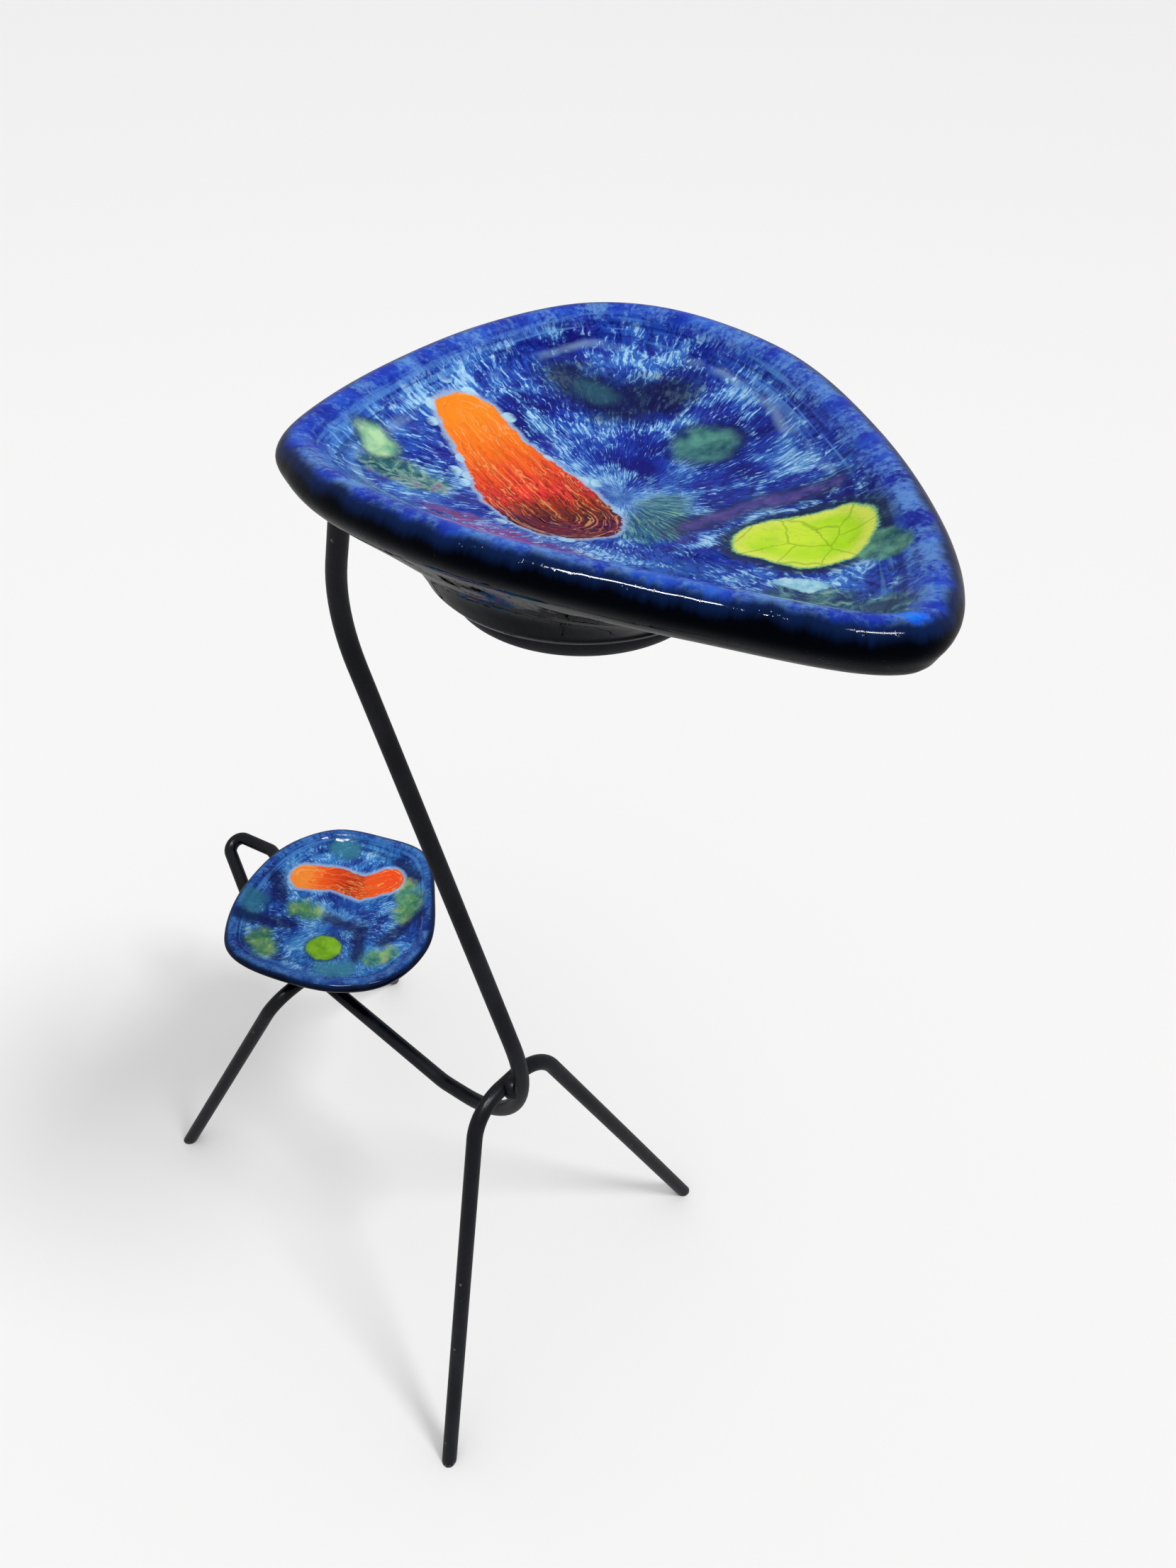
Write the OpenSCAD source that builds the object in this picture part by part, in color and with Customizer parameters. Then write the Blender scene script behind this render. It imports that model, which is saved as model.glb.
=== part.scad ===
// Two-dish bird bath on a bent-rod stand. Millimetres, +Z up, +X to the front.
// The origin is on the ground, under the middle of the whole object.

/* [Rod] */
// Diameter of the steel rod, the same in every rod piece
rod_d = 8; // [6:0.5:10]
// Gap between touching rods that the braze fills
braze_gap = 0.1; // [0.05:0.05:0.3]
// Radius of the braze at a leg bracket
braze_r = 6.5; // [5:0.5:9]
// Radius of the braze at a ring
ring_braze_r = 5.2; // [4.6:0.1:5.2]

/* [Stand] */
// Height of the upper ring's centre line
upper_ring_z = 512; // [480:2:540]
// Distance of the upper ring's centre in front of the origin
upper_ring_x = 115; // [110:1:120]
// Radius of the upper ring's centre line
upper_ring_r = 34; // [32:1:38]
// Height of the lower ring's centre line
lower_ring_z = 167; // [165:1:175]
// Place of the lower ring's centre, seen from above
lower_ring_xy = [-96, 21];
// Radius of the lower ring's centre line
lower_ring_r = 29; // [26:1:32]
// Bend radius where the neck turns forward to the upper ring
neck_top_bend = 26; // [20:1:30]
// Bend radius of the neck's rearward bulge
neck_bend = 68; // [50:1:80]
// Bend radius at the foot of the spine
spine_bend = 65; // [55:1:66]
// Bend radius of the hairpin tail
tail_bend = 7; // [6:0.5:9]

/* [Legs] */
// Half the front feet's spread, foot centre to middle
front_foot_y = 104; // [95:1:110]
// Distance of the front feet in front of the origin
front_foot_x = 115; // [105:1:120]
// Half the front bar's length, to the corners of its bends
front_bar_y = 22; // [20:1:30]
// Bend radius of the front shoulders
front_shoulder_bend = 24; // [20:1:26]
// Half the rear feet's spread, foot centre to middle
rear_foot_y = 90; // [80:1:100]
// Distance of the rear feet in front of the origin, negative to the rear
rear_foot_x = -156; // [-165:1:-150]
// Distance of the rear bar in front of the origin, negative to the rear
rear_bar_x = -96; // [-100:1:-92]
// Half the rear bar's length, to the corners of its bends
rear_bar_y = 31; // [28:1:36]
// Bend radius of the rear shoulders
rear_shoulder_bend = 22; // [18:1:26]

/* [Upper dish] */
// Height of the base under the rim's crest
upper_dish_h = 37; // [34:1:42]
// Depth of the bowl's middle below the crest
upper_bowl_depth = 23; // [16:1:26]
// Radius of the round base that rests on the ring
upper_base_r = 45; // [42:1:50]

/* [Lower dish] */
// Height of the base under the rim's crest
lower_dish_h = 18; // [16:1:24]
// Depth of the bowl's middle below the crest
lower_bowl_depth = 10; // [8:1:12]
// Radius of the round base that rests on the ring
lower_base_r = 38; // [36:1:44]

/* [Hidden] */
$fn = 48;
rod_r = rod_d / 2;
seat_gap = 0.3;          // air under a dish's base, so that it lifts without rubbing
foot_ring_h = 3;         // height of the dish's own foot, inside the steel ring
foot_clearance = 1;      // from the dish's foot to the steel ring
around = 72;             // points around a dish
bend_swell = 0.02;       // a bend's extra radius, so that each bar ends just inside it
tuck = 0.3;              // length of bar that runs on inside a bend
bar_turn = 60;           // turn of a bar about its own length
ring_braze_drop = 1.3;   // how far a ring's braze hangs below the rods' centre line
rod_paint = "#17181c";
upper_glaze = "#2a4fb8";
lower_glaze = "#3560b4";

upper_ring_c = [upper_ring_x, 0, upper_ring_z];
lower_ring_c = [lower_ring_xy[0], lower_ring_xy[1], lower_ring_z];

// Corners of the spine's centre line, each with its bend radius
neck_top = [9, 0, upper_ring_z];
neck_bulge = [-12, 0, 444];
spine_foot = [100, 0, 172.5];
low_run_front = [15, 0, 145.5];
low_run_rear = [-158, 0, 140];
tail_left = [-234, 28, 157.5];
tail_right = [-190, 37, 160];
tail_dir = unit(lower_ring_c - tail_right);
ring_reach = lower_ring_r + rod_r + braze_gap;
spine_start = upper_ring_c - [upper_ring_r + rod_r + braze_gap, 0, 0];
spine_end = lower_ring_c - tail_dir * ring_reach;
spine_path = [
    [spine_start, 0], [neck_top, neck_top_bend], [neck_bulge, neck_bend],
    [spine_foot, spine_bend], [low_run_front, 32], [low_run_rear, 40],
    [tail_left, tail_bend], [tail_right, tail_bend], [spine_end, 0]
];

// The front bar nestles inside the spine's foot bend, a rod's width from its centre line
spine_bend_c = bend_centre(neck_bulge, spine_foot, low_run_front, spine_bend);
bar_offset = rod_d + braze_gap;
front_bar_angle = -10.7;
front_bar_c = spine_bend_c
    + (spine_bend - bar_offset) * [cos(front_bar_angle), 0, sin(front_bar_angle)];
// The rear bar lies on top of the low run
low_run_slope = (low_run_front[2] - low_run_rear[2]) / (low_run_front[0] - low_run_rear[0]);
rear_bar_z = low_run_rear[2] + (rear_bar_x - low_run_rear[0]) * low_run_slope + bar_offset;
rear_bar_c = [rear_bar_x, 0, rear_bar_z];

// Plan of each dish's rim, measured from its ring's centre
upper_plan = [
    [-62, -49], [-75, -11], [-79, 37], [-68, 76], [-38, 93], [9, 87], [56, 58],
    [94, 22], [112, -8], [106, -27], [69, -44], [21, -60], [-19, -65], [-45, -61]
];
lower_plan = [
    [-36, -53], [-55, -28], [-65, 9], [-54, 41], [-26, 58], [6, 66], [38, 44],
    [61, 18], [64, -13], [46, -38], [11, -56], [-17, -62]
];

function unit(v) = v / norm(v);

// Centre of the arc of radius r that rounds corner p between a and b
function bend_centre(a, p, b, r) =
    let (u = unit(a - p), v = unit(b - p), half = acos(u * v) / 2)
    p + unit(u + v) * r / sin(half);

// Length that a bend of radius r takes off each side of corner p
function bend_reach(a, p, b, r) = r / tan(acos(unit(a - p) * unit(b - p)) / 2);

// Point at fraction t between b and c of a smooth curve through a, b, c and d
function spline_point(a, b, c, d, t) =
    0.5 * (2 * b + (c - a) * t + (2 * a - 5 * b + 4 * c - d) * t * t
           + (3 * b - a - 3 * c + d) * t * t * t);

// Closed smooth curve through the corners, n points in all
function closed_curve(p, n) =
    let (m = len(p))
    [for (i = [0:n - 1])
        let (s = i * m / n, k = floor(s))
        spline_point(p[(k + m - 1) % m], p[k % m], p[(k + 1) % m], p[(k + 2) % m], s - k)];

// Closed curve moved inwards by d, for a curve that runs clockwise seen from above
function inset(p, d) =
    let (m = len(p))
    [for (i = [0:m - 1])
        let (t = unit(p[(i + 1) % m] - p[(i + m - 1) % m]))
        p[i] + d * [t[1], -t[0]]];

// Ring of 3-D points: a plan curve, scaled about its middle and set at height z
function level(p, z, k = 1) = [for (q = p) [q[0] * k, q[1] * k, z]];

// Circle of radius r whose points face those of plan p
function circle_like(p, r) = [for (q = p) unit(q) * r];

function mix(p, q, w) = [for (i = [0:len(p) - 1]) p[i] * (1 - w) + q[i] * w];

// Straight round bar from a to b
module bar(a, b, d) {
    v = b - a;
    translate(a)
        rotate([0, acos(v[2] / norm(v)), atan2(v[1], v[0])])
            rotate(bar_turn)
                cylinder(h = norm(v), d = d);
}

// Curved piece that rounds corner p between a and b
module bend(a, p, b, r, d) {
    c = bend_centre(a, p, b, r);
    along = unit(p - a);
    out = unit(p + bend_reach(a, p, b, r) * unit(a - p) - c);
    side = cross(out, along);
    turn = 180 - acos(unit(a - p) * unit(b - p));
    multmatrix([
        [out[0], along[0], side[0], c[0]],
        [out[1], along[1], side[1], c[1]],
        [out[2], along[2], side[2], c[2]]
    ])
        rotate_extrude(angle = turn)
            translate([r, 0])
                circle(r = d / 2 + bend_swell);
}

// Rod bent along a path of corners, each a point and its bend radius
module bent_rod(path, d) {
    last = len(path) - 1;
    reach = [for (i = [0:last])
        i == 0 || i == last ? 0
        : bend_reach(path[i - 1][0], path[i][0], path[i + 1][0], path[i][1])];
    for (i = [0:last - 1]) {
        a = path[i][0];
        b = path[i + 1][0];
        dir = unit(b - a);
        start = i == 0 ? 0 : reach[i] - tuck;
        end = i == last - 1 ? 0 : reach[i + 1] - tuck;
        bar(a + dir * start, b - dir * end, d);
    }
    for (i = [1:last - 1])
        bend(path[i - 1][0], path[i][0], path[i + 1][0], path[i][1], d);
}

module hoop(c, r, d) {
    translate(c)
        rotate_extrude()
            translate([r, 0])
                circle(d = d);
}

// Path of a leg bracket: foot, shoulder, shoulder, foot. The legs run on below the ground.
function bracket_path(foot_x, foot_y, bar_c, bar_y, r) =
    let (below = 1.06)
    [for (side = [-1, 1]) let (
        shoulder = [bar_c[0], side * bar_y, bar_c[2]],
        foot = shoulder + ([foot_x, side * foot_y, 0] - shoulder) * below)
        each side < 0 ? [[foot, 0], [shoulder, r]] : [[shoulder, r], [foot, 0]]];

// Leg bracket with its feet sawn off level with the ground
module leg_bracket(path) {
    floor_size = 600;
    difference() {
        bent_rod(path, rod_d);
        translate([-floor_size / 2, -floor_size / 2, -floor_size])
            cube(floor_size);
    }
}

// Closed skin through a stack of rings that starts at point top and ends at point bottom
module skin(top, rings, bottom) {
    m = len(rings[0]);
    count = len(rings);
    points = concat([top], [for (r = rings) each r], [bottom]);
    last = len(points) - 1;
    faces = concat(
        [for (i = [0:m - 1]) [0, 1 + i, 1 + (i + 1) % m]],
        [for (k = [0:count - 2], i = [0:m - 1])
            let (a = 1 + k * m, j = (i + 1) % m)
            each [[a + i, a + m + i, a + m + j], [a + i, a + m + j, a + j]]],
        [for (i = [0:m - 1])
            let (a = 1 + (count - 1) * m)
            [last, a + (i + 1) % m, a + i]]
    );
    polyhedron(points, faces);
}

// Dish seen from its ring's centre: bowl, rolled rim, underside, round base and foot.
// roll is the rim's thickness; wall is how far the bowl's side falls from the crest.
module dish(plan, h, depth, base_r, ring_r, roll, wall) {
    rim = closed_curve(plan, around);
    foot_of_wall = inset(rim, 2.2 * roll);
    base = circle_like(rim, base_r);
    foot_r = ring_r - rod_r - foot_clearance;
    bowl = [for (k = [0.2:0.2:0.8])
        level(foot_of_wall, -wall - (depth - wall) * (1 - pow(k, 1.4)), k)];
    rings = concat(
        bowl,
        [
            level(foot_of_wall, -wall),
            level(inset(rim, 1.55 * roll), -0.55 * wall),
            level(inset(rim, 1.1 * roll), -0.16 * wall),
            level(inset(rim, 0.65 * roll), 0),
            level(inset(rim, 0.25 * roll), -0.14 * roll),
            level(rim, -0.55 * roll),
            level(inset(rim, 0.12 * roll), -1.0 * roll),
            level(inset(rim, 0.55 * roll), -1.5 * roll)
        ],
        [for (w = [0.25, 0.5, 0.8])
            let (low = 1.5 * roll + (h - 1.5 * roll - 0.3 * roll) * w * 0.75)
            level(mix(inset(rim, 0.55 * roll), base, w), -low)],
        [
            level(base, -h + 0.45 * roll),
            level(circle_like(rim, base_r - 0.12 * roll), -h + 0.2 * roll),
            level(circle_like(rim, base_r - 0.45 * roll), -h),
            level(circle_like(rim, foot_r + 0.6), -h),
            level(circle_like(rim, foot_r), -h - foot_ring_h + 0.8),
            level(circle_like(rim, foot_r - 1), -h - foot_ring_h)
        ]
    );
    skin([0, 0, -depth], rings, [0, 0, -h - foot_ring_h]);
}

module upper_dish() {
    color(upper_glaze)
        translate(upper_ring_c + [0, 0, rod_r + seat_gap + upper_dish_h])
            dish(upper_plan, upper_dish_h, upper_bowl_depth, upper_base_r, upper_ring_r, 9, 9);
}

module lower_dish() {
    color(lower_glaze)
        translate(lower_ring_c + [0, 0, rod_r + seat_gap + lower_dish_h])
            dish(lower_plan, lower_dish_h, lower_bowl_depth, lower_base_r, lower_ring_r, 5, 4);
}

module spine_rod() {
    color(rod_paint)
        bent_rod(spine_path, rod_d);
}

module upper_ring() {
    color(rod_paint)
        hoop(upper_ring_c, upper_ring_r, rod_d);
}

module lower_ring() {
    color(rod_paint)
        hoop(lower_ring_c, lower_ring_r, rod_d);
}

module front_leg_bracket() {
    color(rod_paint)
        leg_bracket(bracket_path(front_foot_x, front_foot_y, front_bar_c, front_bar_y,
                                 front_shoulder_bend));
}

module rear_leg_bracket() {
    color(rod_paint)
        leg_bracket(bracket_path(rear_foot_x, rear_foot_y, rear_bar_c, rear_bar_y,
                                 rear_shoulder_bend));
}

// Braze around the point where two rods meet: a ball, its poles along X, with the rods cut out of it
module braze(c, r) {
    $fn = 160;
    difference() {
        translate(c)
            rotate([0, 90, 0])
                sphere(r);
        children();
    }
}

module front_leg_braze() {
    color(rod_paint)
        braze((front_bar_c - spine_bend_c) * (spine_bend - bar_offset / 2)
              / (spine_bend - bar_offset) + spine_bend_c, braze_r) {
            bend(neck_bulge, spine_foot, low_run_front, spine_bend, rod_d);
            bar(front_bar_c - [0, 10, 0], front_bar_c + [0, 10, 0], rod_d);
        }
}

module rear_leg_braze() {
    color(rod_paint)
        braze(rear_bar_c - [0, 0, bar_offset / 2], braze_r) {
            bar(low_run_front, low_run_rear, rod_d);
            bar(rear_bar_c - [0, 10, 0], rear_bar_c + [0, 10, 0], rod_d);
        }
}

module upper_ring_braze() {
    color(rod_paint)
        braze(spine_start - [0, 0, ring_braze_drop], ring_braze_r) {
            bar(spine_start, neck_top, rod_d);
            hoop(upper_ring_c, upper_ring_r, rod_d);
        }
}

module lower_ring_braze() {
    color(rod_paint)
        braze(spine_end - [0, 0, ring_braze_drop], ring_braze_r) {
            bar(spine_end, tail_right, rod_d);
            hoop(lower_ring_c, lower_ring_r, rod_d);
        }
}

upper_dish();
lower_dish();
spine_rod();
upper_ring();
lower_ring();
front_leg_bracket();
rear_leg_bracket();
front_leg_braze();
rear_leg_braze();
upper_ring_braze();
lower_ring_braze();
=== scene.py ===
# Looks of the two-dish bird bath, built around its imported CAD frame. Metres, +Z up, +X to the front.
import math

import bpy
import numpy as np
from mathutils import Matrix, Vector


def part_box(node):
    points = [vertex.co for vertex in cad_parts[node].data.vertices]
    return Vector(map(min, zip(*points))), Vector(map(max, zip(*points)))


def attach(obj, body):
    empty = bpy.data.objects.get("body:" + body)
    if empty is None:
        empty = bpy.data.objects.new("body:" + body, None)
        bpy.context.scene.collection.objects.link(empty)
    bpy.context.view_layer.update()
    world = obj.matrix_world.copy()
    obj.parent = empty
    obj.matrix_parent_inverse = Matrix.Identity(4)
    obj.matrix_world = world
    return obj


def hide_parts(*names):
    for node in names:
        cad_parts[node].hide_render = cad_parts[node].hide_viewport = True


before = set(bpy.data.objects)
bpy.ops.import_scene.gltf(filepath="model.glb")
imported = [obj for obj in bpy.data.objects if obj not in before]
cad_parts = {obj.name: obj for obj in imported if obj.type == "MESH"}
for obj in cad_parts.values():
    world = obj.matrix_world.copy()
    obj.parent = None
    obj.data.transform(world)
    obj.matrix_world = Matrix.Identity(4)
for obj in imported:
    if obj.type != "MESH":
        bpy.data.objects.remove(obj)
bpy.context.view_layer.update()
MM = 0.001

# ---------------------------------------------------------------- camera

SENSOR = 36.0           # height of the portrait image on the sensor, mm
FOCAL = 24.80           # mm
CAMERA_AT = Vector((0.2924, -0.1992, 0.6736))
CAMERA_RIGHT = Vector((0.74735, 0.66436, 0.01001))
CAMERA_DOWN = Vector((0.45282, -0.49825, -0.73939))
CAMERA_AHEAD = Vector((-0.48623, 0.55712, -0.67320))


def add_camera():
    """The photo's view."""
    data = bpy.data.cameras.new("camera")
    data.sensor_fit = "VERTICAL"
    data.sensor_height = SENSOR
    data.lens = FOCAL
    data.clip_start = 0.01
    camera = bpy.data.objects.new("camera", data)
    bpy.context.scene.collection.objects.link(camera)
    turn = Matrix((CAMERA_RIGHT, -CAMERA_DOWN, -CAMERA_AHEAD)).transposed()
    camera.matrix_world = Matrix.Translation(CAMERA_AT) @ turn.to_4x4()
    bpy.context.scene.camera = camera


# ---------------------------------------------------------------- shader graphs


def linear(code):
    """Linear colour of an sRGB code such as "2a4fb8"."""
    out = []
    for i in (0, 2, 4):
        c = int(code[i:i + 2], 16) / 255
        out.append(c / 12.92 if c <= 0.04045 else ((c + 0.055) / 1.055) ** 2.4)
    return (*out, 1.0)


class Graph:
    """Short names for the nodes of one material."""

    def __init__(self, name):
        self.material = bpy.data.materials.new(name)
        self.material.use_nodes = True
        self.tree = self.material.node_tree
        self.tree.nodes.clear()
        out = self.tree.nodes.new("ShaderNodeOutputMaterial")
        self.shader = self.tree.nodes.new("ShaderNodeBsdfPrincipled")
        self.tree.links.new(self.shader.outputs["BSDF"], out.inputs["Surface"])

    def node(self, kind, **settings):
        n = self.tree.nodes.new(kind)
        for key, value in settings.items():
            setattr(n, key, value)
        return n

    def put(self, socket, value):
        if isinstance(value, bpy.types.NodeSocket):
            self.tree.links.new(value, socket)
        elif value is not None:
            socket.default_value = value

    def set(self, socket, value):
        self.put(self.shader.inputs[socket], value)

    def here(self):
        return self.node("ShaderNodeTexCoord").outputs["Object"]

    def field(self, name):
        return self.node("ShaderNodeAttribute", attribute_name=name).outputs["Fac"]

    def vector_field(self, name):
        return self.node("ShaderNodeAttribute", attribute_name=name).outputs["Vector"]

    def math(self, op, a, b=None):
        n = self.node("ShaderNodeMath", operation=op)
        for socket, value in zip(n.inputs, (a, b)):
            self.put(socket, value)
        return n.outputs[0]

    def vmath(self, op, a, b=None, scale=None):
        n = self.node("ShaderNodeVectorMath", operation=op)
        self.put(n.inputs[0], a)
        if b is not None:
            self.put(n.inputs[1], b)
        if scale is not None:
            self.put(n.inputs["Scale"], scale)
        return n.outputs["Vector"]

    def times(self, a, b):
        return self.math("MULTIPLY", a, b)

    def plus(self, a, b):
        return self.math("ADD", a, b)

    def off(self, value, level):
        """How far value is from level."""
        return self.math("ABSOLUTE", self.math("SUBTRACT", value, level))

    def sway(self, value, noise, reach):
        """value moved up and down by a noise, by reach in all."""
        return self.plus(value, self.times(self.math("SUBTRACT", noise, 0.5), reach))

    def shift(self, vector, noise, reach):
        """vector moved by a coloured noise."""
        return self.vmath("ADD", vector, self.vmath("SCALE", noise, scale=reach))

    def noise(self, vector, scale, detail=3.0, rough=0.5, twist=0.0, colour=False):
        """Noise about 0.5. In a vector in mm, scale counts the bumps per mm."""
        n = self.node("ShaderNodeTexNoise")
        self.put(n.inputs["Vector"], vector)
        self.put(n.inputs["Scale"], scale)
        self.put(n.inputs["Detail"], detail)
        self.put(n.inputs["Roughness"], rough)
        self.put(n.inputs["Distortion"], twist)
        return n.outputs["Color" if colour else "Fac"]

    def cells(self, vector, scale, feature="F1"):
        """Distance to the nearest cell's middle or edge."""
        n = self.node("ShaderNodeTexVoronoi", feature=feature)
        self.put(n.inputs["Vector"], vector)
        self.put(n.inputs["Scale"], scale)
        return n.outputs["Distance"]

    def fade(self, value, low, high):
        """0 below low to 1 above high, smoothly; low may be above high."""
        n = self.node("ShaderNodeMapRange", interpolation_type="SMOOTHSTEP")
        flip = low > high
        self.put(n.inputs["Value"], value)
        self.put(n.inputs["From Min"], high if flip else low)
        self.put(n.inputs["From Max"], low if flip else high)
        self.put(n.inputs["To Min"], 1.0 if flip else 0.0)
        self.put(n.inputs["To Max"], 0.0 if flip else 1.0)
        return n.outputs["Result"]

    def mix(self, amount, a, b):
        """a turned to b by amount; either may be an sRGB code."""
        n = self.node("ShaderNodeMix", data_type="RGBA")
        self.put(n.inputs[0], amount)
        self.put(n.inputs[6], linear(a) if isinstance(a, str) else a)
        self.put(n.inputs[7], linear(b) if isinstance(b, str) else b)
        return n.outputs[2]

    def ramp(self, value, stops):
        """Colour at value, from stops of (place, sRGB code)."""
        n = self.node("ShaderNodeValToRGB")
        self.put(n.inputs[0], value)
        e = n.color_ramp.elements
        while len(e) < len(stops):
            e.new(0.5)
        for item, (place, code) in zip(e, stops):
            item.position = place
            item.color = linear(code)
        return n.outputs["Color"]

    def bump(self, height, distance, strength=1.0, below=None):
        n = self.node("ShaderNodeBump")
        self.put(n.inputs["Height"], height)
        n.inputs["Distance"].default_value = distance
        n.inputs["Strength"].default_value = strength
        if below is not None:
            self.put(n.inputs["Normal"], below)
        return n.outputs["Normal"]


# ---------------------------------------------------------------- dish shapes
# In mm from the ring's centre, and down from the crest of the rim. A roll is the thickness of the rolled
# rim, and a wall is the drop from the crest to the foot of the inner wall.

AROUND = 384            # points around a dish
STEPS = 4               # rings made from each ring of the profile
BOWL_RINGS = 12
BOWL_FROM, BOWL_TO = 0.06, 0.94     # where the bowl's rings lie between its middle and its wall
BOWL_ROUND = 1.5                    # how the bowl deepens towards its middle
WALL_FOOT = 2.2                     # inset of the inner wall's foot, in rolls
# (inset from the outline in rolls, drop from the crest in walls or in rolls)
INNER_WALL = ((1.55, 0.55), (1.1, 0.16), (0.65, 0.0))               # in walls; the last is the crest
OUTER_ROLL = ((0.25, 0.14), (0.0, 0.55), (0.12, 1.0), (0.55, 1.5))  # in rolls
UNDERSIDE = (0.25, 0.5, 0.8)        # steps from under the roll to the base
UNDER_ROLL, UNDER_FALL = 1.8, 0.75  # how far the underside falls in those steps
BASE_EDGE = ((0.0, 0.45), (0.12, 0.2), (0.45, 0.0))     # (inset from the base's circle, rise), in rolls
FOOT_FILLET, FOOT_INSET, FOOT_RISE = 0.6, 1, 0.8        # the foot's rounded corners
SPARE = 0.15            # how far a skin's outline lies inside the CAD dish's
POOL_OVER_CREST = 2.0   # how far a pool of glaze may run past the crest
VEINS_ALONG, VEINS_ACROSS = 3, 0.55     # how fine the orange pool's veins are


def between(a, b, c, d, t):
    """The point or ring at t from b to c, on a smooth curve through all four."""
    return 0.5 * (2 * b + (c - a) * t + (2 * a - 5 * b + 4 * c - d) * t * t
                  + (3 * b - a - 3 * c + d) * t ** 3)


def closed_curve(points, count):
    """Closed smooth curve through the points."""
    m = len(points)
    p = np.array(points, float)
    out = []
    for i in range(count):
        s = i * m / count
        k = int(s)
        out.append(between(*(p[(k + j) % m] for j in (-1, 0, 1, 2)), s - k))
    return np.array(out)


def inset(curve, d):
    """A clockwise closed curve moved inwards by d."""
    t = np.roll(curve, -1, 0) - np.roll(curve, 1, 0)
    t /= np.linalg.norm(t, axis=1)[:, None]
    return curve + d * np.stack([t[:, 1], -t[:, 0]], 1)


def flat(curve, z):
    return np.column_stack([curve, np.full(len(curve), z)])


def circle_like(curve, r):
    return curve / np.linalg.norm(curve, axis=1)[:, None] * r


def dish_rings(size):
    """Rings of points from the bowl's middle over the rim to the foot's middle.

    Returns the rings, the index of the crest's ring, and the outline.
    """
    rim = inset(closed_curve(size["plan"], AROUND), SPARE)
    roll, wall, depth, h = size["roll"], size["wall"], size["depth"], size["h"]
    low = np.array(size["bowl_at"], float)
    foot_of_wall = inset(rim, WALL_FOOT * roll)
    out = foot_of_wall - low
    reach = np.linalg.norm(out, axis=1)[:, None]
    around_low = out / reach * reach.mean()
    rings = []
    for k in np.linspace(BOWL_FROM, BOWL_TO, BOWL_RINGS):
        plan = low + (around_low * (1 - k) + out * k) * k
        rings.append(flat(plan, -wall - (depth - wall) * (1 - k ** BOWL_ROUND)))
    rings.append(flat(foot_of_wall, -wall))
    rings += [flat(inset(rim, d * roll), -drop * wall) for d, drop in INNER_WALL]
    crest = len(rings) - 1
    rings += [flat(inset(rim, d * roll), -drop * roll) for d, drop in OUTER_ROLL]
    edge, base = inset(rim, OUTER_ROLL[-1][0] * roll), circle_like(rim, size["base_r"])
    for w in UNDERSIDE:
        fall = (h - UNDER_ROLL * roll) * w * UNDER_FALL
        rings.append(flat(edge * (1 - w) + base * w, -OUTER_ROLL[-1][1] * roll - fall))
    rings += [flat(circle_like(rim, size["base_r"] - d * roll), -h + rise * roll) for d, rise in BASE_EDGE]
    rings += [
        flat(circle_like(rim, size["foot_r"] + FOOT_FILLET), -h),
        flat(circle_like(rim, size["foot_r"]), -h - size["foot_h"] + FOOT_RISE),
        flat(circle_like(rim, size["foot_r"] - FOOT_INSET), -h - size["foot_h"]),
    ]
    return rings, crest, rim


def smooth_stack(rings):
    """More rings, on smooth curves through the given ones."""
    n = len(rings)
    out = []
    for i in range(n - 1):
        a, b = rings[max(i - 1, 0)], rings[i]
        c, d = rings[i + 1], rings[min(i + 2, n - 1)]
        out += [between(a, b, c, d, j / STEPS) for j in range(STEPS)]
    out.append(rings[-1])
    return out


def pool_distance(p, pool):
    """Distance in the plan from points p to a rounded pool, negative inside."""
    c = np.array(pool, float)
    best = np.full(len(p), np.inf)
    for a, b in zip(c[:-1], c[1:]):
        ab = b[:2] - a[:2]
        t = np.clip(((p - a[:2]) @ ab) / (ab @ ab), 0, 1)
        off = np.linalg.norm(p - a[:2] - t[:, None] * ab, axis=1)
        best = np.minimum(best, off - a[2] - t * (b[2] - a[2]))
    return best


def along_line(p, line):
    """(way along, side offset) of points p by a centre line. The way runs from 0 to 1."""
    best = np.full(len(p), np.inf)
    way, side = np.zeros(len(p)), np.zeros(len(p))
    c = np.array(line, float)[:, :2]
    lengths = np.linalg.norm(np.diff(c, axis=0), axis=1)
    starts = np.concatenate([[0], np.cumsum(lengths)])
    for i, (a, b) in enumerate(zip(c[:-1], c[1:])):
        ab = b - a
        t = np.clip(((p - a) @ ab) / (ab @ ab), 0, 1)
        off = p - a - t[:, None] * ab
        d = np.linalg.norm(off, axis=1)
        near = d < best
        turn = np.sign(ab[0] * off[:, 1] - ab[1] * off[:, 0])
        best = np.where(near, d, best)
        way = np.where(near, (starts[i] + t * lengths[i]) / starts[-1], way)
        side = np.where(near, turn * d, side)
    return way, side


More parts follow.
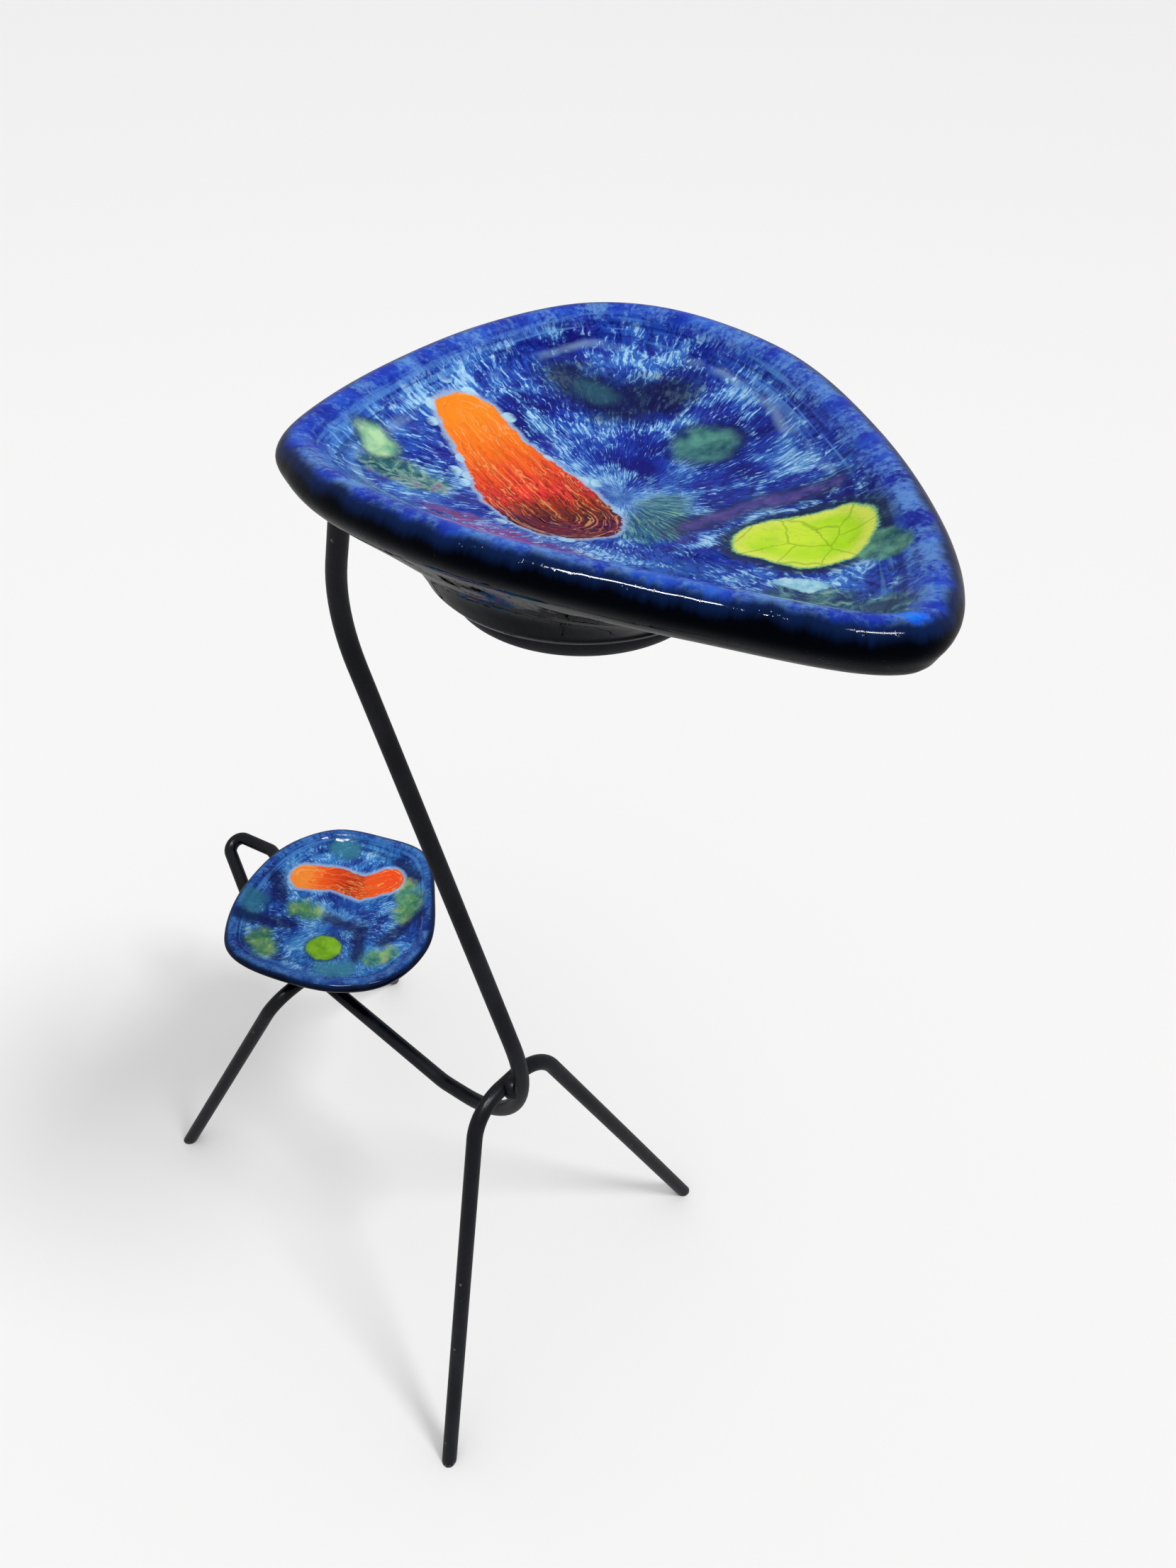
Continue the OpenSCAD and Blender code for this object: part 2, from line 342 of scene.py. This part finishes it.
def dish_mesh(name, size, at):
    """A dish as one closed mesh, with the distances that its glaze is painted by."""
    rings, crest, rim = dish_rings(size)
    rings = smooth_stack(rings)
    crest *= STEPS
    count, m = len(rings), AROUND
    top = np.array([[*size["bowl_at"], -size["depth"]]])
    bottom = np.array([[0, 0, -size["h"] - size["foot_h"]]])
    points = np.vstack([*rings, top, bottom])
    i_top, i_bottom = count * m, count * m + 1
    faces = [(i_top, i, (i + 1) % m) for i in range(m)]
    for k in range(count - 1):
        a = k * m
        for i in range(m):
            j = (i + 1) % m
            faces.append((a + i, a + m + i, a + m + j, a + j))
    a = (count - 1) * m
    faces += [(i_bottom, a + (i + 1) % m, a + i) for i in range(m)]
    mesh = bpy.data.meshes.new(name)
    mesh.from_pydata((points * MM + np.array(at)).tolist(), [], faces)
    mesh.shade_smooth()
    mesh.update()

    steps = np.linalg.norm(np.diff(np.stack(rings), axis=0), axis=2)
    past = np.concatenate([np.zeros((1, m)), np.cumsum(steps, axis=0)])
    past -= past[crest]
    plan = points[:, :2]
    outline = np.vstack([np.tile(rim, (count, 1)), rim[:1], rim[:1]])
    away = plan - np.array(size["flow_at"], float)
    r = np.linalg.norm(away, axis=1)
    heading = away / np.maximum(r, 1e-6)[:, None]
    fields = {"past": np.concatenate([past.ravel(), [past[0].min(), past[-1].max()]])}
    over = fields["past"] - POOL_OVER_CREST
    for key, pool in size["pools"].items():
        fields["pool_" + key] = np.maximum(pool_distance(plan, pool), over)
    vectors = {
        "outline": np.column_stack([outline, np.zeros(len(plan))]),
        "flow": np.column_stack([heading * size["flow_turns"], r * size["flow_pace"]]),
    }
    way, side = along_line(plan, size["pools"]["orange"])
    fields["orange_way"] = way
    vectors["orange_grain"] = np.column_stack([way * VEINS_ALONG, side * VEINS_ACROSS,
                                               np.zeros(len(plan))])
    for key, values in fields.items():
        mesh.attributes.new(key, "FLOAT", "POINT").data.foreach_set("value", values.astype(np.float32))
    for key, values in vectors.items():
        mesh.attributes.new(key, "FLOAT_VECTOR", "POINT").data.foreach_set(
            "vector", values.astype(np.float32).ravel())
    obj = bpy.data.objects.new(name, mesh)
    bpy.context.scene.collection.objects.link(obj)
    return obj


UPPER = {
    "plan": [(-62, -49), (-75, -11), (-79, 37), (-68, 76), (-38, 93), (9, 87), (56, 58),
             (94, 22), (112, -8), (106, -27), (69, -44), (21, -60), (-19, -65), (-45, -61)],
    "roll": 9, "wall": 9, "depth": 23, "h": 37, "base_r": 45,
    "foot_r": 29, "foot_h": 3, "bowl_at": (4, 12), "flow_at": (2, 14),
    "flow_turns": 24.0, "flow_pace": 0.13,  # how fine the strokes are across and along
    "pools": {                              # each a line of (x, y, radius)
        "orange": [(-50, 6, 9), (-34, 1, 11), (-14, -4, 16), (1, -9, 16)],
        "lime": [(52, 11, 9), (65, 14, 13)],
        "lime_side": [(80, 13, 4.5), (85, 11, 4)],
        "teal": [(4, 46, 7), (9, 46, 7)],
        "pale": [(-52, -27, 4), (-48, -28, 4.5)],
        "smear": [(-42, -33, 5), (-30, -29, 6)],
        "dusk": [(-48, 46, 7), (-30, 48, 9), (-18, 60, 8)],
        "dusk_heart": [(-40, 47, 4), (-34, 48, 4)],
        "streak": [(28, 9, 1.5), (38, 25, 2.5), (55, 35, 1.5)],
        "puddle": [(68, -6, 2), (75, -5, 3)],
        "marsh": [(76, -12, 7), (94, -13, 8)],
        "azure": [(103, -18, 2.2), (107, -18, 2.2)],
        "murk": [(16, 16, 8), (23, 1, 9)],
    },
}
LOWER = {
    "plan": [(-36, -53), (-55, -28), (-65, 9), (-54, 41), (-26, 58), (6, 66), (38, 44),
             (61, 18), (64, -13), (46, -38), (11, -56), (-17, -62)],
    "roll": 5, "wall": 4, "depth": 10, "h": 18, "base_r": 38,
    "foot_r": 24, "foot_h": 3, "bowl_at": (0, 0), "flow_at": (4, -4),
    "flow_turns": 15.0, "flow_pace": 0.14,
    "pools": {
        "orange": [(-38, 6, 9), (-24, 18, 8), (-6, 24, 8), (2, 38, 9)],
        "disc": [(12, -21, 9), (15, -21, 9)],
        "moss": [(14, 40, 6), (26, 34, 8), (30, 24, 5)],
        "moss2": [(-18, -42, 7), (-8, -45, 6)],
        "moss3": [(42, -8, 6), (46, 0, 5)],
        "moss4": [(-22, -12, 6), (-14, -8, 6)],
        "teal": [(-40, 35, 6), (-33, 38, 6)],
        "teal2": [(-44, -26, 6), (-38, -34, 6)],
        "teal3": [(36, -24, 6), (26, -32, 5)],
        "dark1": [(-40, -40, 4), (-16, -24, 4)],
        "dark2": [(38, 30, 4), (36, 4, 4)],
        "dark3": [(-4, -4, 4), (18, 2, 4), (33, -12, 4)],
        "dark4": [(-50, -6, 4), (-36, -14, 4)],
        "dark5": [(-2, 52, 4), (16, 48, 4)],
    },
}

# ---------------------------------------------------------------- glazes

MILLI = 1000.0  # object coordinates to millimetres

# Colours are sRGB codes; a list of them is a ramp of (place, code). Places along "past" are in mm.
UPPER_LOOK = {
    "field": [(0.34, "131878"), (0.45, "1b34a4"), (0.56, "2852b8"), (0.70, "3f74c4")],
    "violet": "38349c", "haze": "3c78ca", "stroke": "62a0de", "stroke_tip": "b4def8", "deep": "0e1264",
    "stroke_low": 0.50, "stroke_high": 0.63, "line_at": 15.5, "line": 0.28,
    "rim": [(0.32, "10188a"), (0.50, "1c3ab6"), (0.68, "2e64d2")],
    "mottle_amount": 0.8, "mottle_colour": "6a9edc", "rim_from": (-8.0, -3.0),
    "drip": 6.0, "blue_to": -0.5, "navy_at": 3.4, "black_at": 7.0, "navy": "0e2048", "black": "03050a",
}
LOWER_LOOK = {
    "field": [(0.30, "182a74"), (0.44, "20469c"), (0.56, "2a68b6"), (0.70, "4a90cc")],
    "violet": "30388c", "haze": "3f80c4", "stroke": "5696d2", "stroke_tip": "90c0e6", "deep": "161e58",
    "stroke_low": 0.50, "stroke_high": 0.68, "line_at": 8.5, "line": 0.0,
    "rim": [(0.34, "141e5c"), (0.50, "1e3c8c"), (0.66, "3a74b8")],
    "mottle_amount": 0.6, "mottle_colour": "5c94d0", "rim_from": (-4.0, -1.0),
    "drip": 3.0, "blue_to": -0.5, "navy_at": 2.5, "black_at": 5.0, "navy": "121d3c", "black": "04060c",
}
DUSK, DUSK_HEART, LOWER_DARK = "0a0c3c", "2c6070", "161c50"
TEAL_HALO, PALE_HALO, STREAK_HALO, DISC_HALO = "142044", "1d3550", "182448", "1f3c4c"
LIME_SHADOW, LIME_LIP, LIME_CRACKLE, LIME_EDGE = "15263c", "dcea5a", "8cb41e", "6fb486"
DROPS, ORANGE_HALO, ORANGE_SMOKE, PALE_VEIN = "b6e4f4", "a8c6e6", "34100c", "ffb066"
LOWER_ORANGE_HALO, LOWER_ORANGE_SMOKE = "9fb8dc", "5a2016"
LOWER_TEALS = {"teal": "3a7c8c", "teal2": "2f6c80", "teal3": "3a7c8c"}
MURK = [(0.36, "16264e"), (0.48, "2c6070"), (0.58, "5a9a84"), (0.68, "a4ccb0")]
TEAL = [(0.3, "1c4c5c"), (0.6, "5a9c8e")]
SMEAR = [(0.34, "17304a"), (0.46, "2f6a5c"), (0.55, "7fae8a"), (0.62, "8f5f8d"), (0.75, "2c3f8e")]
PALE = [(0.3, "6fb08a"), (0.6, "b4dcac")]
MARSH = [(0.34, "141c3c"), (0.48, "2c4a5c"), (0.58, "4a7a70"), (0.70, "8fb496")]
PUDDLE = [(0.35, "7cc0dc"), (0.6, "b4e2ee")]
AZURE = [(0.35, "0a4ae0"), (0.6, "1c7cf4")]
STREAK = [(0.35, "34307c"), (0.65, "6a58a4")]
LIME_SIDE = [(0.35, "23585a"), (0.65, "6aa688")]
LIME = [(0.34, "a6dc14"), (0.5, "b8e628"), (0.66, "d0ee3a")]
ORANGE = [(0.0, "fd8c1c"), (0.36, "fb6c1c"), (0.55, "f24a24"), (0.72, "ee3430"), (0.86, "b83418"),
          (1.0, "6a2014")]
# how strong the veins are along the orange pool, black for none and white for full
ORANGE_VEINS = [(0.0, "404040"), (0.4, "808080"), (0.7, "d0d0d0"), (1.0, "ffffff")]
MOSS = [(0.35, "2f6a4c"), (0.5, "5c9440"), (0.65, "9cb85c")]
DISC = [(0.35, "477a19"), (0.6, "82b82c")]
LOWER_ORANGE = [(0.0, "f08a34"), (0.2, "ee5a22"), (0.38, "d8421c"), (0.6, "c43a1c"), (0.78, "e85a24"),
                (1.0, "ee4c20")]
LOWER_ORANGE_VEINS = [(0.0, "000000"), (0.35, "606060"), (0.55, "c0c0c0"), (0.8, "404040"),
                      (1.0, "101010")]
HALO_FULL, HALO_STRENGTH = 0.2, 0.7
GLAZE_IOR, GLAZE_SPECULAR = 1.5, 0.30
WAVE_HEIGHT, STROKE_HEIGHT, PIT_DEPTH = 0.0011, 0.00022, 0.00010    # bump distances, m


def glaze_base(g, look):
    """The blue field with its crystalline strokes, the rim and the dark side.

    Returns the colour, the relief, and the plain, wandering and streaming coordinates that the pools use.
    """
    mm = g.vmath("SCALE", g.here(), scale=MILLI)
    past = g.field("past")
    wander = g.noise(mm, 0.09, 3, 0.55, colour=True)
    shifted = g.shift(mm, wander, 7.0)
    broad = g.noise(shifted, 0.045, 4, 0.55)
    field = g.ramp(broad, look["field"])
    violet = g.fade(g.noise(shifted, 0.07, 3, 0.6), 0.52, 0.66)
    field = g.mix(g.times(violet, 0.55), field, look["violet"])

    # crystalline strokes that feather outwards in clusters
    bent = g.shift(g.vector_field("flow"), g.noise(mm, 0.13, 2, 0.5, colour=True), 1.8)
    clusters = g.noise(shifted, 0.075, 4, 0.6)
    hairs = g.noise(bent, 2.1, 4, 0.62, 0.5)
    lift = g.times(g.math("SUBTRACT", clusters, 0.5), 0.9)
    light = g.fade(g.plus(hairs, lift), look["stroke_low"], look["stroke_high"])
    inner = g.fade(past, -4.0, -11.0)
    light_in = g.times(light, g.plus(g.times(inner, 0.85), 0.15))
    haze = g.times(g.fade(clusters, 0.46, 0.60), inner)
    colour = g.mix(g.times(haze, 0.5), field, look["haze"])
    tips = g.fade(g.plus(hairs, g.times(lift, 0.7)), 0.54, 0.72)
    stroke = g.mix(tips, look["stroke"], look["stroke_tip"])
    colour = g.mix(g.times(light_in, 0.92), colour, stroke)
    deep = g.times(g.fade(hairs, 0.52, 0.38), g.fade(clusters, 0.58, 0.42))
    colour = g.mix(g.times(deep, 0.8), colour, look["deep"])

    # pale line at the foot of the inner wall
    line_off = g.off(g.sway(past, g.noise(mm, 0.06, 3, 0.5), 6.0), -look["line_at"])
    line = g.times(g.fade(line_off, 2.6, 0.2), g.fade(g.noise(shifted, 0.05, 2, 0.5), 0.44, 0.62))
    colour = g.mix(g.times(line, look["line"]), colour, look["stroke_tip"])

    # flow lines that run along the inner wall
    outline = g.vector_field("outline")
    level = g.node("ShaderNodeCombineXYZ")
    g.put(level.inputs["Z"], g.times(past, 0.55))
    lines = g.noise(g.vmath("ADD", g.vmath("SCALE", outline, scale=0.022), level.outputs[0]), 1.0, 2, 0.5)
    on_wall = g.times(g.fade(past, -18.0, -11.0), g.fade(past, -1.0, -5.0))
    for low, high, strength, code in ((0.50, 0.36, 0.55, look["deep"]), (0.54, 0.66, 0.45, look["stroke"])):
        colour = g.mix(g.times(g.times(g.fade(lines, low, high), on_wall), strength), colour, code)

    # rolled rim: cobalt, thinly mottled, with soft runs down its side
    runs = g.noise(g.shift(outline, wander, 3.0), 0.10, 3, 0.55)
    fine_runs = g.noise(g.shift(outline, wander, 4.0), 0.62, 4, 0.6)
    grain = g.noise(mm, 0.55, 5, 0.68)
    rim_field = g.ramp(g.noise(shifted, 0.07, 4, 0.6), look["rim"])
    mottle = g.plus(g.times(runs, 0.45), g.times(grain, 0.40))
    mottle = g.fade(g.plus(mottle, g.times(fine_runs, 0.15)), 0.44, 0.60)
    rim_colour = g.mix(g.times(mottle, look["mottle_amount"]), rim_field, look["mottle_colour"])
    on_rim = g.fade(g.sway(past, grain, 16.0), *look["rim_from"])
    colour = g.mix(g.times(on_rim, 0.9), colour, rim_colour)

    # the glaze thickens to navy and black down the outer side
    drip = g.sway(g.sway(past, runs, look["drip"]), fine_runs, look["drip"] * 0.4)
    dark = g.mix(g.fade(drip, look["navy_at"], look["black_at"]), look["navy"], look["black"])
    colour = g.mix(g.fade(drip, look["blue_to"], look["navy_at"]), colour, dark)
    relief = g.plus(g.times(light_in, 0.5), broad)
    return colour, relief, mm, shifted, bent


def ragged(g, name, at, uneven, scale=0.22, fine=0.7):
    """Distance to a pool's edge, made uneven by so many mm broadly and finely."""
    d = g.sway(g.field("pool_" + name), g.noise(at, scale, 4, 0.55), uneven * 2)
    return g.sway(d, g.noise(at, 1.3, 3, 0.6), fine * 2)


def lay_pool(g, colour, name, at, inside, gone, full, uneven, strength=1.0, halo=None):
    """colour with a pool of glaze laid on it, and a halo (reach, colour) around that.

    gone and full are the distances to the pool's edge, in mm and negative inside, at which it ends and at
    which it has its full strength.
    """
    d = ragged(g, name, at, uneven)
    if halo:
        reach, code = halo
        colour = g.mix(g.times(g.fade(d, reach, HALO_FULL), HALO_STRENGTH), colour, code)
    return g.mix(g.times(g.fade(d, gone, full), strength), colour, inside)


def orange_colour(g, mm, stops, streak_stops, streak_colour):
    """Orange glaze with thin dark and pale veins along the pool."""
    grain = g.shift(g.vector_field("orange_grain"), g.noise(mm, 0.13, 3, 0.5, colour=True), 1.6)
    long_noise = g.noise(grain, 1.4, 4, 0.55, 0.3)
    base = g.ramp(g.sway(g.field("orange_way"), long_noise, 0.55), stops)
    strength = g.ramp(g.field("orange_way"), streak_stops)
    veins = g.times(g.fade(g.off(g.noise(grain, 1.1, 2, 0.5, 0.5), 0.5), 0.05, 0.008), strength)
    smoke = g.times(g.fade(g.noise(grain, 1.9, 4, 0.6), 0.48, 0.64), strength)
    base = g.mix(g.times(smoke, 0.85), base, streak_colour)
    pale = g.fade(g.off(g.noise(grain, 0.8, 2, 0.5, 0.4), 0.52), 0.030, 0.006)
    base = g.mix(g.times(pale, 0.55), base, PALE_VEIN)
    return g.mix(veins, base, streak_colour)


def finish_glaze(g, colour, relief, mm):
    """Gloss, slow waves, raised strokes and small pits."""
    g.set("Base Color", colour)
    pits = g.fade(g.cells(mm, 0.42), 0.16, 0.05)
    smear = g.noise(mm, 0.05, 3, 0.6)
    rough = g.plus(g.times(g.fade(smear, 0.45, 0.7), 0.05), 0.045)
    g.set("Roughness", g.plus(rough, g.times(pits, 0.12)))
    waves = g.bump(g.noise(mm, 0.055, 2, 0.5), WAVE_HEIGHT, 0.55)
    fine = g.bump(relief, STROKE_HEIGHT, 0.5, below=waves)
    g.set("Normal", g.bump(pits, -PIT_DEPTH, 0.5, below=fine))
    g.set("IOR", GLAZE_IOR)
    g.set("Specular IOR Level", GLAZE_SPECULAR)
    return g.material


def upper_glaze():
    """Cobalt with an orange and a lime pool, and smaller smudges around them."""
    g = Graph("upper_glaze")
    colour, relief, mm, shifted, bent = glaze_base(g, UPPER_LOOK)
    shade = g.ramp(g.noise(bent, 1.3, 4, 0.6), MURK)
    colour = lay_pool(g, colour, "murk", shifted, shade, 3.0, -4.0, 5.0, 0.8)
    colour = lay_pool(g, colour, "dusk", shifted, DUSK, 7.0, -4.0, 5.0, 0.9)
    colour = lay_pool(g, colour, "dusk_heart", shifted, DUSK_HEART, 3.0, -3.0, 3.0, 0.6)
    shade = g.ramp(g.noise(mm, 0.16, 3), TEAL)
    colour = lay_pool(g, colour, "teal", mm, shade, 2.2, -3.0, 2.0, 0.92, halo=(5.0, TEAL_HALO))
    shade = g.ramp(g.noise(shifted, 0.16, 4, 0.6, 1.5), SMEAR)
    colour = lay_pool(g, colour, "smear", shifted, shade, 3.0, -2.0, 4.0, 0.85)
    shade = g.ramp(g.noise(mm, 0.2, 3), PALE)
    colour = lay_pool(g, colour, "pale", mm, shade, 1.4, -1.6, 1.8, halo=(3.0, PALE_HALO))
    shade = g.ramp(g.noise(shifted, 0.18, 4, 0.65, 1.0), MARSH)
    colour = lay_pool(g, colour, "marsh", shifted, shade, 3.5, -2.0, 4.0, 0.85)
    shade = g.ramp(g.noise(mm, 0.3, 3), PUDDLE)
    colour = lay_pool(g, colour, "puddle", shifted, shade, 0.5, -0.5, 2.4, 0.9)
    shade = g.ramp(g.noise(mm, 0.35, 3), AZURE)
    colour = lay_pool(g, colour, "azure", mm, shade, 1.0, -1.0, 1.6, 0.9)
    shade = g.ramp(g.noise(mm, 0.2, 4), STREAK)
    colour = lay_pool(g, colour, "streak", shifted, shade, 2.2, -1.6, 2.4, 0.8, halo=(5.0, STREAK_HALO))

    lime_d = ragged(g, "lime", mm, 1.6, 0.14)
    colour = g.mix(g.times(g.fade(lime_d, 5.0, 1.0), 0.85), colour, LIME_SHADOW)
    shade = g.ramp(g.noise(mm, 0.25, 4), LIME_SIDE)
    colour = lay_pool(g, colour, "lime_side", mm, shade, 1.0, -1.0, 1.6, 0.9)
    lime = g.ramp(g.noise(mm, 0.05, 3, 0.5), LIME)
    lime = g.mix(g.fade(lime_d, -5.0, -1.2), lime, LIME_LIP)
    curled = g.shift(mm, g.noise(mm, 0.12, 2, 0.5, colour=True), 4.0)
    crackle = g.cells(curled, 0.085, "DISTANCE_TO_EDGE")
    lime = g.mix(g.times(g.fade(crackle, 0.035, 0.008), 0.6), lime, LIME_CRACKLE)
    lime = g.mix(g.fade(lime_d, -1.1, 0.2), lime, LIME_EDGE)
    colour = g.mix(g.fade(lime_d, 0.6, -0.3), colour, lime)

    orange_d = ragged(g, "orange", mm, 2.2, 0.17, 0.9)
    drops = g.fade(g.cells(mm, 0.13), 0.34, 0.28)
    drops = g.times(drops, g.fade(orange_d, 5.5, 2.2))
    colour = g.mix(g.times(drops, 0.85), colour, DROPS)
    colour = g.mix(g.times(g.fade(orange_d, 2.4, 0.5), 0.75), colour, ORANGE_HALO)
    orange = orange_colour(g, mm, ORANGE, ORANGE_VEINS, ORANGE_SMOKE)
    colour = g.mix(g.fade(orange_d, 0.5, -0.3), colour, orange)
    return finish_glaze(g, colour, relief, mm)


def lower_glaze():
    """Mid blue with dark strokes, moss and teal smudges, a green spot and an orange bar."""
    g = Graph("lower_glaze")
    colour, relief, mm, shifted, _ = glaze_base(g, LOWER_LOOK)
    for name, code in LOWER_TEALS.items():
        colour = lay_pool(g, colour, name, shifted, code, 4.0, -3.0, 4.5, 0.75)
    for name in ("dark1", "dark2", "dark3", "dark4", "dark5"):
        colour = lay_pool(g, colour, name, shifted, LOWER_DARK, 3.0, -2.5, 4.0, 0.85)
    shade = g.ramp(g.noise(mm, 0.14, 4, 0.6), MOSS)
    for name in ("moss", "moss2", "moss3", "moss4"):
        colour = lay_pool(g, colour, name, shifted, shade, 4.0, -3.5, 4.5, 0.8)
    shade = g.ramp(g.noise(mm, 0.10, 3), DISC)
    colour = lay_pool(g, colour, "disc", mm, shade, 0.8, -0.8, 1.4, halo=(3.0, DISC_HALO))
    orange_d = ragged(g, "orange", mm, 1.4, 0.16, 0.7)
    colour = g.mix(g.times(g.fade(orange_d, 3.0, 0.8), 0.7), colour, LOWER_ORANGE_HALO)
    orange = orange_colour(g, mm, LOWER_ORANGE, LOWER_ORANGE_VEINS, LOWER_ORANGE_SMOKE)
    colour = g.mix(g.fade(orange_d, 0.5, -0.3), colour, orange)
    return finish_glaze(g, colour, relief, mm)


# ---------------------------------------------------------------- black rod paint

PAINT = [(0.3, "121318"), (0.55, "191a20"), (0.75, "23242a")]
DUST = "2e2f36"
BARE_METAL = ("5a4a42", "6e6a68")
SCUFF_TOP, SCUFF_FULL = 5.4, 3.6    # the feet are worn from the first down to the second, before noise, mm
PAINT_ROUGHNESS, PAINT_SPECULAR = 0.20, 0.5
SKIN_HEIGHT, GRAIN_HEIGHT, CHIP_DEPTH = 0.00018, 0.00006, 0.00008   # bump distances, m


def black_paint():
    """Satin black, a little dusty, chipped here and there and scuffed at the feet."""
    g = Graph("black_paint")
    mm = g.vmath("SCALE", g.here(), scale=MILLI)
    broad = g.noise(mm, 0.03, 4, 0.6)
    fine = g.noise(mm, 0.9, 4, 0.6)
    colour = g.ramp(broad, PAINT)
    dust = g.times(g.fade(fine, 0.56, 0.74), 0.35)
    colour = g.mix(dust, colour, DUST)
    height = g.node("ShaderNodeSeparateXYZ")
    g.put(height.inputs[0], mm)
    worn = g.plus(height.outputs["Z"], g.times(g.noise(mm, 0.5, 4, 0.6), 7.0))
    scuff = g.times(g.fade(worn, SCUFF_TOP, SCUFF_FULL), g.fade(fine, 0.42, 0.6))
    chips = g.times(g.fade(g.cells(mm, 0.09), 0.085, 0.06), g.fade(fine, 0.40, 0.52))
    bare = g.math("MAXIMUM", scuff, g.times(chips, 0.7))
    colour = g.mix(bare, colour, g.mix(g.fade(fine, 0.45, 0.6), *BARE_METAL))
    g.set("Base Color", colour)
    g.set("Roughness", g.plus(g.times(broad, 0.22),
                              g.plus(g.times(bare, 0.3), PAINT_ROUGHNESS)))
    skin = g.bump(g.noise(mm, 0.35, 3, 0.5), SKIN_HEIGHT, 0.6)
    grain = g.bump(fine, GRAIN_HEIGHT, 0.6, below=skin)
    g.set("Normal", g.bump(bare, -CHIP_DEPTH, 0.6, below=grain))
    g.set("Specular IOR Level", PAINT_SPECULAR)
    return g.material


# ---------------------------------------------------------------- floor and light

FLOOR_REACH = 8.0
FLOOR_SIDES = 64
FLOOR_COLOUR, FLOOR_ROUGHNESS, FLOOR_SPECULAR = "f2f1f1", 0.6, 0.3
WORLD_COLOUR = "fbfbfb"
WORLD_STRENGTH, WORLD_MIRRORED = 0.80, 0.30
SUN_FROM = Vector((0.647, 0.221, 1.0))
SUN_POWER, SUN_ANGLE = 1.2, 14      # the angle in degrees
BLACK_LEVEL = 0.007
GLINTS = {                          # strip lamps: ends, the point they light, width and power
    "rim_tube": ((-0.22, -0.72, 1.83), (0.13, -0.64, 1.91), (0.17, -0.045, 0.55), 0.11, 8.0),
    "tip_tube": ((0.58, -0.50, 1.93), (0.95, -0.16, 1.85), (0.217, -0.026, 0.55), 0.10, 6.0),
}


def add_floor():
    """Plain pale floor."""
    turns = [2 * math.pi * i / FLOOR_SIDES for i in range(FLOOR_SIDES)]
    rim = [(FLOOR_REACH * math.cos(a), FLOOR_REACH * math.sin(a), 0) for a in turns]
    mesh = bpy.data.meshes.new("floor")
    mesh.from_pydata(rim, [], [tuple(range(FLOOR_SIDES))])
    g = Graph("studio_white")
    g.set("Base Color", linear(FLOOR_COLOUR))
    g.set("Roughness", FLOOR_ROUGHNESS)
    g.set("Specular IOR Level", FLOOR_SPECULAR)
    mesh.materials.append(g.material)
    obj = bpy.data.objects.new("floor", mesh)
    obj.visible_glossy = False
    bpy.context.scene.collection.objects.link(obj)


def add_sun():
    """Soft key light."""
    data = bpy.data.lights.new("sun", "SUN")
    data.energy = SUN_POWER
    data.angle = math.radians(SUN_ANGLE)
    obj = bpy.data.objects.new("sun", data)
    obj.rotation_euler = SUN_FROM.to_track_quat("Z", "Y").to_euler()
    obj.visible_glossy = False
    bpy.context.scene.collection.objects.link(obj)


def add_glint(name, start, end, to, width, power):
    """Strip lamp from start to end, seen only as a thin highlight in the glaze and the paint."""
    start, end = Vector(start), Vector(end)
    data = bpy.data.lights.new(name, "AREA")
    data.shape = "RECTANGLE"
    data.size, data.size_y = (end - start).length, width
    data.energy = power
    obj = bpy.data.objects.new(name, data)
    middle = (start + end) / 2
    along = (end - start).normalized()
    back = middle - Vector(to)
    back = (back - along * back.dot(along)).normalized()
    turn = Matrix((along, back.cross(along), back)).transposed()
    obj.matrix_world = Matrix.Translation(middle) @ turn.to_4x4()
    obj.visible_diffuse = False
    bpy.context.scene.collection.objects.link(obj)


def add_world():
    """Even studio light; what mirrors show of it is dimmer, as if by dark flags around the set."""
    world = bpy.data.worlds.new("studio")
    world.use_nodes = True
    tree = world.node_tree
    sky = tree.nodes["Background"]
    sky.inputs["Color"].default_value = linear(WORLD_COLOUR)
    path = tree.nodes.new("ShaderNodeLightPath")
    level = tree.nodes.new("ShaderNodeMapRange")
    level.inputs["To Min"].default_value = WORLD_STRENGTH
    level.inputs["To Max"].default_value = WORLD_MIRRORED
    tree.links.new(path.outputs["Is Glossy Ray"], level.inputs["Value"])
    tree.links.new(level.outputs["Result"], sky.inputs["Strength"])
    bpy.context.scene.world = world


# ---------------------------------------------------------------- assembly


def add_dish(name, node, size, material, ring_node, body):
    """A finer skin in place of a CAD dish, centred on its ring."""
    ring_lo, ring_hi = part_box(ring_node)
    centre = (Vector(ring_lo) + Vector(ring_hi)) / 2
    crest_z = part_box(node)[1][2]
    dish = dish_mesh(name, size, (centre.x, centre.y, crest_z))
    dish.data.materials.append(material)
    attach(dish, body)
    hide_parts(node)


add_camera()
add_world()
add_floor()
add_sun()
for name, lamp in GLINTS.items():
    add_glint(name, *lamp)

view = bpy.context.scene.view_settings
view.view_transform = "Standard"
view.use_curve_mapping = True
view.curve_mapping.black_level = (BLACK_LEVEL,) * 3

paint = black_paint()
for node in ("spine_rod", "upper_ring", "lower_ring", "front_leg_bracket", "rear_leg_bracket",
             "front_leg_braze", "rear_leg_braze", "upper_ring_braze", "lower_ring_braze"):
    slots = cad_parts[node].data.materials
    for i in range(len(slots)):
        slots[i] = paint

add_dish("upper_glaze", "upper_dish", UPPER, upper_glaze(), "upper_ring", "upper_dish")
add_dish("lower_glaze", "lower_dish", LOWER, lower_glaze(), "lower_ring", "lower_dish")
